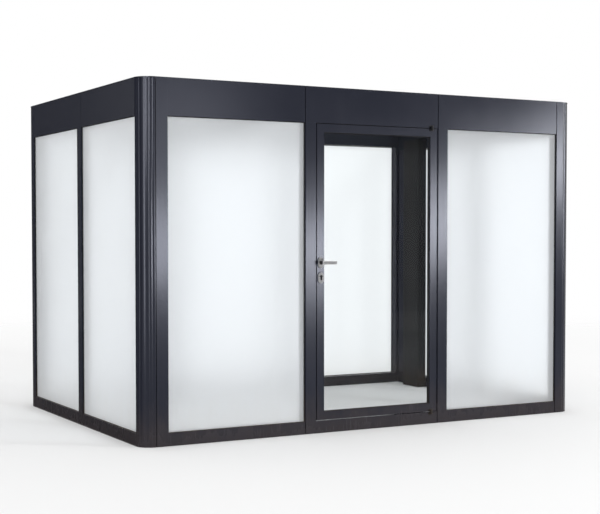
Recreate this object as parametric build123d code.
from build123d import *
from math import cos, radians, sin, tan
import os

# A free-standing greenhouse with a flat roof behind a tall fascia.
# The metal frame holds frosted panes on all four walls and a clear glazed door in the front wall.
# Sizes are in millimetres. The front wall faces -Y and Z points up.
# The origin is on the ground, in the middle of everything the greenhouse takes up, door lever included.

# Overall heights. The fascia of the back wall is lower than the others.
total_height = 2300.0
glass_bottom = 82.0
fascia_height = 238.0
back_fascia_height = 203.0

# Walls
wall_depth = 80.0
stile_face = 78.0
joint_width = 6.0
joint_depth = 8.0
front_bays = 3
front_opening = 977.0
side_bays = 2
side_opening = 984.0

# Panes and the grooves that hold them
pane_thickness = 6.0
glass_setback = 11.0
groove_width = 7.0
groove_depth = 9.0
pane_edge_gap = 1.0

# Rounded corner posts with grooves along the round
corner_radius = 96.0
quarter_turn = 90.0
reed_angles = (11.0, 27.0, 63.0, 79.0)
reed_depth = 3.0

# Flat flank between the round and the wall, on the front wall's right end and on the left wall's back end.
# The two walls behind have no flank where they meet, so the bays beside that corner are wider by it.
corner_flank = 52.0

# Lip round the top of the fascia
lip_height = 8.0
lip_overhang = 2.0

# Roof. The drops are measured down from the top of the fascia, and the rafters start above the glass.
upstand_width = 40.0
roof_drop = 62.0
roof_slope = 1.1
roof_glass_thickness = 8.0
roof_glass_gap = 4.0
rafter_width = 50.0
rafter_lift = 76.0
cap_bar_height = 6.0
gutter_width = 28.0
gutter_drop = 160.0

# Door leaf
door_gap_side = 7.0
door_gap_end = 5.0
leaf_member = 55.0
leaf_depth = 38.0
door_glass_thickness = 6.0
door_stop_width = 14.0
door_stop_gap = 6.0

# Corner pivots of the door
pivot_inset = 48.0
pivot_stand_off = 12.0
pivot_radius = 9.0
pin_radius = 4.0
pin_clearance = 0.4
knuckle_height = 14.0
knuckle_gap = 1.0
pivot_plate_thickness = 4.0
pivot_plate_width = 34.0
pivot_plate_height = 15.0
pivot_plate_step = 3.0
pivot_plate_bevel = 1.5

# Lever handle and lock
lever_height = 1137.0
lock_centres = 92.0
lock_plate_width = 40.0
lock_plate_height = 72.0
lock_plate_thickness = 9.0
lock_plate_bevel = 1.0
lever_neck_radius = 9.0
lever_neck_clearance = 1.0
lever_stand_off = 50.0
lever_length = 108.0
lever_bar_height = 25.0
lever_bar_depth = 11.0
lever_bar_end_height = 23.0
lever_edge_round = 3.0
lever_cap_radius = 9.0
lever_cap_depth = 1.5
spindle_size = 8.0
spindle_grip = 12.0
spindle_hole_radius = 7.0
cylinder_radius = 8.5
cylinder_web = 10.0
cylinder_drop = 24.5
cylinder_proud = 3.0
cylinder_clearance = 0.3
keyhole_width = 2.4
keyhole_height = 8.5
keyhole_depth = 6.0

# Rain pipe casing inside, on the right wall
casing_width = 80.0
casing_length = 230.0
casing_back_gap = 209.0

# Sizes that follow from the ones above
glass_top = total_height - fascia_height
back_glass_top = total_height - back_fascia_height
gutter_floor = total_height - gutter_drop
rafter_bottom = glass_top + rafter_lift
post_size = corner_radius + joint_width
far_post_size = post_size + corner_flank
mullion_width = joint_width + stile_face
front_step = front_opening + mullion_width
side_step = side_opening + mullion_width
wall_width = post_size + stile_face + front_bays * front_step - mullion_width + far_post_size
wall_length = post_size + side_bays * side_step - mullion_width + far_post_size
lever_reach = lever_stand_off + lever_bar_depth / 2
front_reach = max(lever_reach, pivot_stand_off + pivot_radius, lip_overhang)
centre_x = wall_width / 2
centre_y = (wall_length + lip_overhang - front_reach) / 2
to_origin = Pos(-centre_x, -centre_y, 0)

# Places along the front wall, from its left end
first_opening = post_size + stile_face
lock_post_left = first_opening + front_opening
door_left = lock_post_left + mullion_width
door_right = door_left + front_opening
last_opening = door_right + mullion_width

# Places of the door leaf
leaf_left = door_left + door_gap_side
leaf_right = door_right - door_gap_side
leaf_bottom = glass_bottom + door_gap_end
leaf_top = glass_top - door_gap_end
pivot_x = leaf_right - pivot_inset
lock_x = leaf_left + leaf_member / 2
key_height = lever_height - lock_centres

# Each wall is drawn as the front wall is: along X as seen from outside, with its depth towards +Y.
front_wall = Location((0, 0, 0), (0, 0, 0))
right_wall = Location((wall_width, 0, 0), (0, 0, 90))
back_wall = Location((wall_width, wall_length, 0), (0, 0, 180))
left_wall = Location((0, wall_length, 0), (0, 0, -90))

os.makedirs("parts", exist_ok=True)


def save(shape, name):
    """Move a piece from the front left corner to the origin and write it out."""
    export_step(to_origin * shape, "parts/" + name + ".step")


def group(shapes):
    """Several separate solids of one kind."""
    return Compound([solid for shape in shapes for solid in shape.solids()])


def upright(points, bottom, top):
    """A straight extrusion along Z of an outline in plan."""
    section = Polygon(*points, align=None)
    return Pos(0, 0, bottom) * extrude(section, amount=top - bottom, dir=(0, 0, 1))


def along_wall(points, start, end):
    """A straight extrusion along X of an outline in depth and height."""
    section = Plane.YZ * Polygon(*points, align=None)
    return Pos(start, 0, 0) * extrude(section, amount=end - start, dir=(1, 0, 0))


def block(x0, x1, y0, y1, z0, z1):
    """A rectangular piece between two corners."""
    return Pos(x0, y0, z0) * Box(x1 - x0, y1 - y0, z1 - z0, align=(Align.MIN, Align.MIN, Align.MIN))


def mirrored(points, width):
    """The same outline with its left and right sides changed over."""
    return [(width - x, y) for x, y in points]


def roof_height(y):
    """Height of the underside of the roof glass above the ground."""
    return total_height - roof_drop - (y - upstand_width) * tan(radians(roof_slope))


# Frame pieces


def post_leg(flank):
    """One leg of a corner post in plan: its flank, its shadow joint and its groove for glass."""
    groove_end = glass_setback + groove_width
    face_end = corner_radius + flank
    end = post_size + flank
    points = [
        (corner_radius, 0),
        (face_end, 0),
        (face_end, joint_depth),
        (end, joint_depth),
        (end, glass_setback),
        (end - groove_depth, glass_setback),
        (end - groove_depth, groove_end),
        (end, groove_end),
        (end, wall_depth),
        (wall_depth, wall_depth),
    ]
    return points if flank > 0 else points[1:]


def corner_post(along, across):
    """Quarter-round post with grooves along the round; the two values are the flanks of its legs."""
    centre = corner_radius
    angles = (0.0,) + reed_angles + (quarter_turn,)

    def on_round(angle, radius):
        turn = radians(angle)
        return (centre - radius * cos(turn), centre - radius * sin(turn))

    def edge_radius(angle):
        return corner_radius - reed_depth if angle in reed_angles else corner_radius

    lobes = []
    for start, end in zip(angles, angles[1:]):
        first = on_round(start, edge_radius(start))
        crown = on_round((start + end) / 2, corner_radius)
        last = on_round(end, edge_radius(end))
        lobes.append(ThreePointArc(first, crown, last))
    leg = Polyline(*post_leg(along))
    other_leg = Polyline(*[(y, x) for x, y in reversed(post_leg(across))])
    shaft = extrude(make_face(Curve() + lobes + leg + other_leg), amount=total_height, dir=(0, 0, 1))
    outer = corner_radius + lip_overhang
    middle = on_round(quarter_turn / 2, outer)
    cap_outline = Curve() + ThreePointArc((-lip_overhang, centre), middle, (centre, -lip_overhang))
    cap_outline += Polyline(
        (centre, -lip_overhang),
        (post_size + along, -lip_overhang),
        (post_size + along, wall_depth),
        (wall_depth, wall_depth),
        (wall_depth, post_size + across),
        (-lip_overhang, post_size + across),
        (-lip_overhang, centre),
    )
    cap = extrude(make_face(cap_outline), amount=lip_height, dir=(0, 0, 1))
    return shaft + Pos(0, 0, total_height - lip_height) * cap


def mullion_outline():
    """Plan of a mullion: shadow joint on the left, face on the right, a groove for glass each side."""
    groove_end = glass_setback + groove_width
    return [
        (joint_width, 0),
        (mullion_width, 0),
        (mullion_width, glass_setback),
        (mullion_width - groove_depth, glass_setback),
        (mullion_width - groove_depth, groove_end),
        (mullion_width, groove_end),
        (mullion_width, wall_depth),
        (0, wall_depth),
        (0, groove_end),
        (groove_depth, groove_end),
        (groove_depth, glass_setback),
        (0, glass_setback),
        (0, joint_depth),
        (joint_width, joint_depth),
    ]


def mullion(start, flip, top=glass_top):
    """A post between two bays, with its lower end on the ground and the fascia on top."""
    outline = mullion_outline()
    if flip:
        outline = mirrored(outline, mullion_width)
    return Pos(start, 0, 0) * upright(outline, 0, top)


def end_stile(start, flip):
    """The full-height flat stile beside a corner post."""
    groove_end = glass_setback + groove_width
    outline = [
        (0, 0),
        (stile_face, 0),
        (stile_face, glass_setback),
        (stile_face - groove_depth, glass_setback),
        (stile_face - groove_depth, groove_end),
        (stile_face, groove_end),
        (stile_face, wall_depth),
        (0, wall_depth),
    ]
    if flip:
        outline = mirrored(outline, stile_face)
    stile = upright(outline, 0, total_height)
    lip = block(0, stile_face, -lip_overhang, 0, total_height - lip_height, total_height)
    return Pos(start, 0, 0) * (stile + lip)


def lock_post():
    """The post that the door closes against, with a stop behind the leaf."""
    groove_end = glass_setback + groove_width
    stop_front = leaf_depth + door_stop_gap
    outline = [
        (joint_width, 0),
        (mullion_width, 0),
        (mullion_width, stop_front),
        (mullion_width + door_stop_width, stop_front),
        (mullion_width + door_stop_width, wall_depth),
        (0, wall_depth),
        (0, groove_end),
        (groove_depth, groove_end),
        (groove_depth, glass_setback),
        (0, glass_setback),
        (0, joint_depth),
        (joint_width, joint_depth),
    ]
    return Pos(lock_post_left, 0, 0) * upright(outline, 0, glass_top)


def hinge_post():
    """The post on the pivot side of the door, plain towards the leaf."""
    groove_end = glass_setback + groove_width
    outline = [
        (joint_width, 0),
        (mullion_width, 0),
        (mullion_width, glass_setback),
        (mullion_width - groove_depth, glass_setback),
        (mullion_width - groove_depth, groove_end),
        (mullion_width, groove_end),
        (mullion_width, wall_depth),
        (0, wall_depth),
        (0, joint_depth),
        (joint_width, joint_depth),
    ]
    return Pos(door_right, 0, 0) * upright(outline, 0, glass_top)


def sill(start, end):
    """Bottom rail of one bay, with the groove that the pane stands in."""
    groove_end = glass_setback + groove_width
    outline = [
        (0, 0),
        (0, glass_bottom),
        (glass_setback, glass_bottom),
        (glass_setback, glass_bottom - groove_depth),
        (groove_end, glass_bottom - groove_depth),
        (groove_end, glass_bottom),
        (wall_depth, glass_bottom),
        (wall_depth, 0),
    ]
    return along_wall(outline, start, end)


def threshold():
    """Bottom rail under the door, as high as the sills."""
    stop_end = door_left + door_stop_width
    stop_front = leaf_depth + door_stop_gap
    rail = block(door_left, door_right, 0, wall_depth, 0, glass_bottom)
    return rail - block(door_left, stop_end, stop_front, wall_depth, 0, glass_bottom)


def pane(start, opening, top=glass_top):
    """Frosted pane of one bay, held in the grooves on its four sides."""
    bite = groove_depth - pane_edge_gap
    return block(
        start - bite,
        start + opening + bite,
        glass_setback,
        glass_setback + pane_thickness,
        glass_bottom - groove_depth,
        top + bite,
    )


def fascia_outline(inner_edge, grooved, bottom):
    """Depth and height of a fascia beam, with its lip, its upstand and the seat of the roof."""
    outline = [
        (0, bottom),
        (0, total_height - lip_height),
        (-lip_overhang, total_height - lip_height),
        (-lip_overhang, total_height),
        (upstand_width, total_height),
    ]
    outline += inner_edge
    outline.append((wall_depth, bottom))
    if grooved:
        groove_end = glass_setback + groove_width
        outline += [
            (groove_end, bottom),
            (groove_end, bottom + groove_depth),
            (glass_setback, bottom + groove_depth),
            (glass_setback, bottom),
        ]
    return outline


def front_edge():
    """The sloping seat of the roof glass along the front wall."""
    return [(upstand_width, roof_height(upstand_width)), (wall_depth, roof_height(wall_depth))]


def back_edge():
    """The gutter and the low seat of the roof glass along the back wall."""
    gutter_edge = upstand_width + gutter_width
    return [
        (upstand_width, gutter_floor),
        (gutter_edge, gutter_floor),
        (gutter_edge, roof_height(wall_length - gutter_edge)),
        (wall_depth, roof_height(wall_length - wall_depth)),
    ]


def side_edge():
    """The level ledge that carries the roof along a side wall."""
    return [(upstand_width, gutter_floor), (wall_depth, gutter_floor)]


def fascia(start, end, inner_edge, joint_start=None, grooved=True, bottom=glass_top):
    """One fascia beam, with a shadow joint cut in its face where two beams meet."""
    beam = along_wall(fascia_outline(inner_edge, grooved, bottom), start, end)
    if joint_start is None:
        return beam
    joint_end = joint_start + joint_width
    return beam - block(joint_start, joint_end, -lip_overhang, joint_depth, bottom, total_height)


# Roof pieces


def roof_room():
    """The space inside the top of the walls that is left for the roof glass, its bearers and the gutter."""
    front = upstand_width
    back = wall_length - upstand_width
    left = upstand_width
    right = wall_width - upstand_width
    ledge = wall_depth - upstand_width
    over_glass = [
        (front, roof_height(front)),
        (back, roof_height(back)),
        (back, total_height),
        (front, total_height),
    ]
    room = along_wall(over_glass, left, right)
    room += block(left, left + ledge, front, back, gutter_floor, total_height)
    room += block(right - ledge, right, front, back, gutter_floor, total_height)
    return room + block(left, right, back - gutter_width, back, gutter_floor, total_height)


def inner_rafter(centre):
    """A rafter from the front beam to the back beam, falling towards the back."""
    back = wall_length - wall_depth
    outline = [
        (wall_depth, rafter_bottom),
        (wall_depth, roof_height(wall_depth)),
        (back, roof_height(back)),
        (back, rafter_bottom),
    ]
    return along_wall(outline, centre - rafter_width / 2, centre + rafter_width / 2)


def side_bearer(start):
    """The tapered bearer that lifts the edge of the roof above a side wall."""
    back = wall_length - upstand_width - gutter_width
    outline = [
        (upstand_width, gutter_floor),
        (upstand_width, roof_height(upstand_width)),
        (back, roof_height(back)),
        (back, gutter_floor),
    ]
    return along_wall(outline, start, start + wall_depth - upstand_width)


def roof_slab(start, end, lift, thickness):
    """A sheet or strip that lies on the slope of the roof."""
    front = upstand_width + pane_edge_gap
    back = wall_length - upstand_width - gutter_width
    outline = [
        (front, roof_height(front) + lift),
        (front, roof_height(front) + lift + thickness),
        (back, roof_height(back) + lift + thickness),
        (back, roof_height(back) + lift),
    ]
    return along_wall(outline, start, end)


def roof_lines():
    """Lines across the roof where its panes begin and end."""
    left = upstand_width
    right = wall_width - upstand_width
    return [left, lock_post_left + joint_width, door_right + joint_width, right]


def roof_panes():
    """Three sheets of roof glass, one behind each bay of the front wall."""
    lines = roof_lines()
    half = roof_glass_gap / 2
    return group(
        roof_slab(a + half, b - half, 0, roof_glass_thickness) for a, b in zip(lines, lines[1:])
    )


def cap_bars():
    """Flat bars over the joints and side edges of the roof glass."""
    lines = roof_lines()
    half = rafter_width / 2
    inner = wall_depth - upstand_width
    spans = [(lines[0] + pane_edge_gap, lines[0] + inner)]
    spans += [(line - half, line + half) for line in lines[1:-1]]
    spans.append((lines[-1] - inner, lines[-1] - pane_edge_gap))
    return group(roof_slab(a, b, roof_glass_thickness, cap_bar_height) for a, b in spans)


def rain_pipe_casing():
    """The dark upright box against the right wall near the back, from the ground to the fascia."""
    right = wall_width - wall_depth
    back = wall_length - wall_depth - casing_back_gap
    return block(right - casing_width, right, back - casing_length, back, 0, rafter_bottom)


# Door pieces


def leaf_stile(left):
    """Upright member of the leaf, before its groove for the glass is cut."""
    return block(left, left + leaf_member, 0, leaf_depth, leaf_bottom, leaf_top)


def glass_slot():
    """The room that the door glass takes in the members round it."""
    bite = groove_depth
    middle = leaf_depth / 2
    half = door_glass_thickness / 2
    return block(
        leaf_left + leaf_member - bite,
        leaf_right - leaf_member + bite,
        middle - half,
        middle + half,
        leaf_bottom + leaf_member - bite,
        leaf_top - leaf_member + bite,
    )


def across_leaf(radius, x, z, y0, y1):
    """A round bar or bore through the thickness of the leaf."""
    return Pos(x, (y0 + y1) / 2, z) * Rot(90, 0, 0) * Cylinder(radius, y1 - y0)


def cylinder_outline(grow):
    """Front view of the key cylinder: a round barrel over a straight web."""
    barrel = Circle(cylinder_radius + grow)
    web_height = cylinder_drop + grow
    web = Pos(0, -web_height / 2) * Rectangle(cylinder_web + 2 * grow, web_height)
    return barrel + web


def key_cylinder_body(grow, y0, y1):
    """The key cylinder, or the hole that it sits in when it is grown by its clearance."""
    face = Plane.XZ * cylinder_outline(grow)
    return Pos(lock_x, y1, key_height) * extrude(face, amount=y1 - y0)


def lock_stile():
    """Closing stile of the leaf, bored for the lever spindle and cut for the key cylinder."""
    bore = across_leaf(spindle_hole_radius, lock_x, lever_height, 0, leaf_depth)
    cut = key_cylinder_body(cylinder_clearance, 0, leaf_depth)
    return leaf_stile(leaf_left) - glass_slot() - bore - cut


def hinge_stile():
    """Stile of the leaf on the pivot side."""
    return leaf_stile(leaf_right - leaf_member) - glass_slot()


def leaf_rail(bottom):
    """Top or bottom member of the leaf, between the two stiles."""
    left = leaf_left + leaf_member
    right = leaf_right - leaf_member
    return block(left, right, 0, leaf_depth, bottom, bottom + leaf_member) - glass_slot()


def lock_plate(z, y0, hole):
    """Oblong plate on a face of the leaf, with its hole cut through."""
    plate = SlotOverall(lock_plate_height, lock_plate_width, rotation=90)
    body = Pos(lock_x, y0 + lock_plate_thickness, z) * extrude(Plane.XZ * plate, amount=lock_plate_thickness)
    body = chamfer(body.faces().filter_by(Axis.Y).edges(), lock_plate_bevel)
    return body - hole


def lock_plates():
    """Lever plates and key plates on the outer and the inner face of the leaf."""
    thickness = lock_plate_thickness
    neck_hole = lever_neck_radius + lever_neck_clearance
    plates = []
    for y0 in (-thickness, leaf_depth):
        y1 = y0 + thickness
        plates.append(lock_plate(lever_height, y0, across_leaf(neck_hole, lock_x, lever_height, y0, y1)))
        key_hole = key_cylinder_body(cylinder_clearance, y0, y1)
        plates.append(lock_plate(key_height - cylinder_radius, y0, key_hole))
    return group(plates)


def lock_cylinder():
    """Key cylinder through the leaf, with a keyhole in each end."""
    front = -lock_plate_thickness - cylinder_proud
    back = leaf_depth + lock_plate_thickness + cylinder_proud
    body = key_cylinder_body(0, front, back)
    half = keyhole_width / 2
    tall = keyhole_height / 2
    for y0 in (front, back - keyhole_depth):
        body -= block(
            lock_x - half, lock_x + half, y0, y0 + keyhole_depth, key_height - tall, key_height + tall
        )
    return body


def lever_bar(y, away):
    """The grip of a lever, with a round recess for a cap; away is -1 outside the leaf and 1 inside the room."""
    near = lock_x - lever_bar_height / 2
    far = near + lever_length
    root = lever_bar_height / 2
    tip = lever_bar_end_height / 2
    side = Plane.XZ * Polygon((near, -root), (far, -tip), (far, tip), (near, root), align=None)
    bar = fillet(extrude(side, amount=lever_bar_depth / 2, both=True).edges(), lever_edge_round)
    face = y + away * lever_bar_depth / 2
    floor = face - away * lever_cap_depth
    recess = across_leaf(lever_cap_radius, lock_x, lever_height, min(face, floor), max(face, floor))
    return Pos(0, y, lever_height) * bar - recess


def lever_neck(y0, y1):
    """Round neck between the leaf and the grip."""
    return across_leaf(lever_neck_radius, lock_x, lever_height, y0, y1)


def outer_lever():
    """Outer lever with its neck and the square spindle that goes through the leaf."""
    spindle_end = leaf_depth + spindle_grip
    half = spindle_size / 2
    spindle = block(
        lock_x - half, lock_x + half, -spindle_grip, spindle_end, lever_height - half, lever_height + half
    )
    return lever_bar(-lever_stand_off, -1) + lever_neck(-lever_stand_off, -pin_clearance) + spindle


def inner_lever():
    """Inner lever, socketed on the end of the spindle."""
    half = spindle_size / 2
    y0 = leaf_depth + pin_clearance
    socket_end = leaf_depth + spindle_grip
    neck = lever_neck(y0, leaf_depth + lever_stand_off)
    socket = block(lock_x - half, lock_x + half, y0, socket_end, lever_height - half, lever_height + half)
    return lever_bar(leaf_depth + lever_stand_off, 1) + neck - socket


def barrel(radius, bottom, top):
    """An upright cylinder on the door's pivot line."""
    height = top - bottom
    return Pos(pivot_x, -pivot_stand_off, bottom + height / 2) * Cylinder(radius, height)


def pivot_plate(bottom):
    """Screwed foot of a pivot, with its outer edges bevelled."""
    plate = block(
        pivot_x - pivot_plate_width / 2,
        pivot_x + pivot_plate_width / 2,
        -pivot_plate_thickness,
        0,
        bottom,
        bottom + pivot_plate_height,
    )
    return chamfer(plate.faces().sort_by(Axis.Y)[0].edges(), pivot_plate_bevel)


def pivot_frame_half(joint_level, away):
    """The fixed knuckle with its pin; away is 1 above the leaf and -1 below it."""
    near = joint_level
    far = joint_level + away * knuckle_height
    knuckle = barrel(pivot_radius, min(near, far), max(near, far))
    pin_end = joint_level - away * (knuckle_height - knuckle_gap)
    pin = barrel(pin_radius, min(near, pin_end), max(near, pin_end))
    plate_near = joint_level + away * pivot_plate_step
    plate_far = plate_near + away * pivot_plate_height
    return knuckle + pin + pivot_plate(min(plate_near, plate_far))


def pivot_leaf_half(joint_level, away):
    """The knuckle on the leaf that turns on the pin."""
    near = joint_level - away * knuckle_gap
    far = near - away * knuckle_height
    knuckle = barrel(pivot_radius, min(near, far), max(near, far))
    leaf_edge = joint_level - away * door_gap_end
    plate_far = leaf_edge - away * pivot_plate_height
    body = knuckle + pivot_plate(min(leaf_edge, plate_far))
    return body - barrel(pin_radius + pin_clearance, min(near, far), max(near, far))


# Places along the other walls, from the left end of each as seen from outside. The joint of a side wall's
# mullion is on its front side, and the back wall has the front wall's bays mirrored.
left_openings = [far_post_size + n * side_step for n in range(side_bays)]
right_openings = [post_size + n * side_step for n in range(side_bays)]
right_widths = [side_opening, side_opening + corner_flank]
left_mullion = left_openings[0] + side_opening
right_mullion = right_openings[0] + side_opening
back_widths = [front_opening + corner_flank, front_opening, front_opening]
back_openings = [post_size + sum(back_widths[:n]) + n * mullion_width for n in range(front_bays)]
back_stile = back_openings[-1] + front_opening

# Corner posts
save(front_wall * corner_post(0, 0) - roof_room(), "corner_post_front_left")
save(right_wall * corner_post(0, corner_flank) - roof_room(), "corner_post_front_right")
save(back_wall * corner_post(0, 0) - roof_room(), "corner_post_back_right")
save(left_wall * corner_post(corner_flank, 0) - roof_room(), "corner_post_back_left")

# Stiles, door posts and mullions
save(end_stile(post_size, False) - roof_room(), "front_left_stile")
save(lock_post(), "door_lock_post")
save(hinge_post(), "door_hinge_post")
save(left_wall * mullion(left_mullion, True), "left_wall_mullion")
save(right_wall * mullion(right_mullion, False), "right_wall_mullion")
back_uprights = [
    back_wall * mullion(start - mullion_width, True, back_glass_top) for start in back_openings[1:]
]
back_uprights.append(back_wall * end_stile(back_stile, True) - roof_room())
save(group(back_uprights), "back_wall_mullions")

# Sills and threshold
save(group(sill(start, start + front_opening) for start in (first_opening, last_opening)), "front_wall_sills")
save(threshold(), "door_threshold")
save(left_wall * group(sill(start, start + side_opening) for start in left_openings), "left_wall_sills")
right_bays = list(zip(right_openings, right_widths))
save(right_wall * group(sill(start, start + width) for start, width in right_bays), "right_wall_sills")
back_bays = list(zip(back_openings, back_widths))
save(back_wall * group(sill(start, start + width) for start, width in back_bays), "back_wall_sills")

# Frosted panes
save(pane(first_opening, front_opening), "front_left_pane")
save(pane(last_opening, front_opening), "front_right_pane")
save(left_wall * group(pane(start, side_opening) for start in left_openings), "left_wall_panes")
save(right_wall * group(pane(start, width) for start, width in right_bays), "right_wall_panes")
back_panes = group(pane(start, width, back_glass_top) for start, width in back_bays)
save(back_wall * back_panes, "back_wall_panes")

# Fascia
door_board_start = lock_post_left + groove_depth
left_board = fascia(first_opening, door_board_start, front_edge(), lock_post_left)
save(left_board, "front_left_fascia")
door_board = fascia(door_board_start, door_right + joint_width, front_edge(), door_right, False)
save(door_board, "front_door_fascia")
right_board = fascia(door_right + joint_width, last_opening + front_opening, front_edge())
save(right_board, "front_right_fascia")
left_boards = [
    fascia(left_openings[0], left_openings[1], side_edge(), left_openings[1] - joint_width),
    fascia(left_openings[1], left_openings[1] + side_opening, side_edge()),
]
save(left_wall * group(left_boards), "left_wall_fascia")
right_boards = [
    fascia(right_openings[0], right_mullion + joint_width, side_edge(), right_mullion),
    fascia(right_mullion + joint_width, right_openings[1] + right_widths[1], side_edge()),
]
save(right_wall * group(right_boards), "right_wall_fascia")
back_boards = [
    fascia(start, end, back_edge(), end - joint_width, bottom=back_glass_top)
    for start, end in zip(back_openings, back_openings[1:])
]
back_boards.append(fascia(back_openings[-1], back_stile, back_edge(), bottom=back_glass_top))
save(back_wall * group(back_boards), "back_wall_fascia")

# Roof
save(side_bearer(upstand_width), "roof_left_bearer")
save(side_bearer(wall_width - wall_depth), "roof_right_bearer")
save(inner_rafter(roof_lines()[1]), "roof_left_rafter")
save(inner_rafter(roof_lines()[2]), "roof_right_rafter")
save(roof_panes(), "roof_panes")
save(cap_bars(), "roof_cap_bars")
save(rain_pipe_casing(), "rain_pipe_casing")

# Door leaf
save(lock_stile(), "door_lock_stile")
save(hinge_stile(), "door_hinge_stile")
save(leaf_rail(leaf_bottom), "door_bottom_rail")
save(leaf_rail(leaf_top - leaf_member), "door_top_rail")
save(glass_slot(), "door_glass")

# Pivots, lock and lever
save(group([pivot_frame_half(glass_top, 1), pivot_frame_half(glass_bottom, -1)]), "frame_pivots")
save(group([pivot_leaf_half(glass_top, 1), pivot_leaf_half(glass_bottom, -1)]), "leaf_pivots")
save(lock_plates(), "lock_plates")
save(lock_cylinder(), "lock_cylinder")
save(outer_lever(), "outer_lever")
save(inner_lever(), "inner_lever")

print("wall width", wall_width, "wall length", wall_length)
print("origin from the front left corner", centre_x, centre_y)
print("door pivot line", pivot_x - centre_x, -pivot_stand_off - centre_y)
print("lever line", lock_x - centre_x, lever_height)
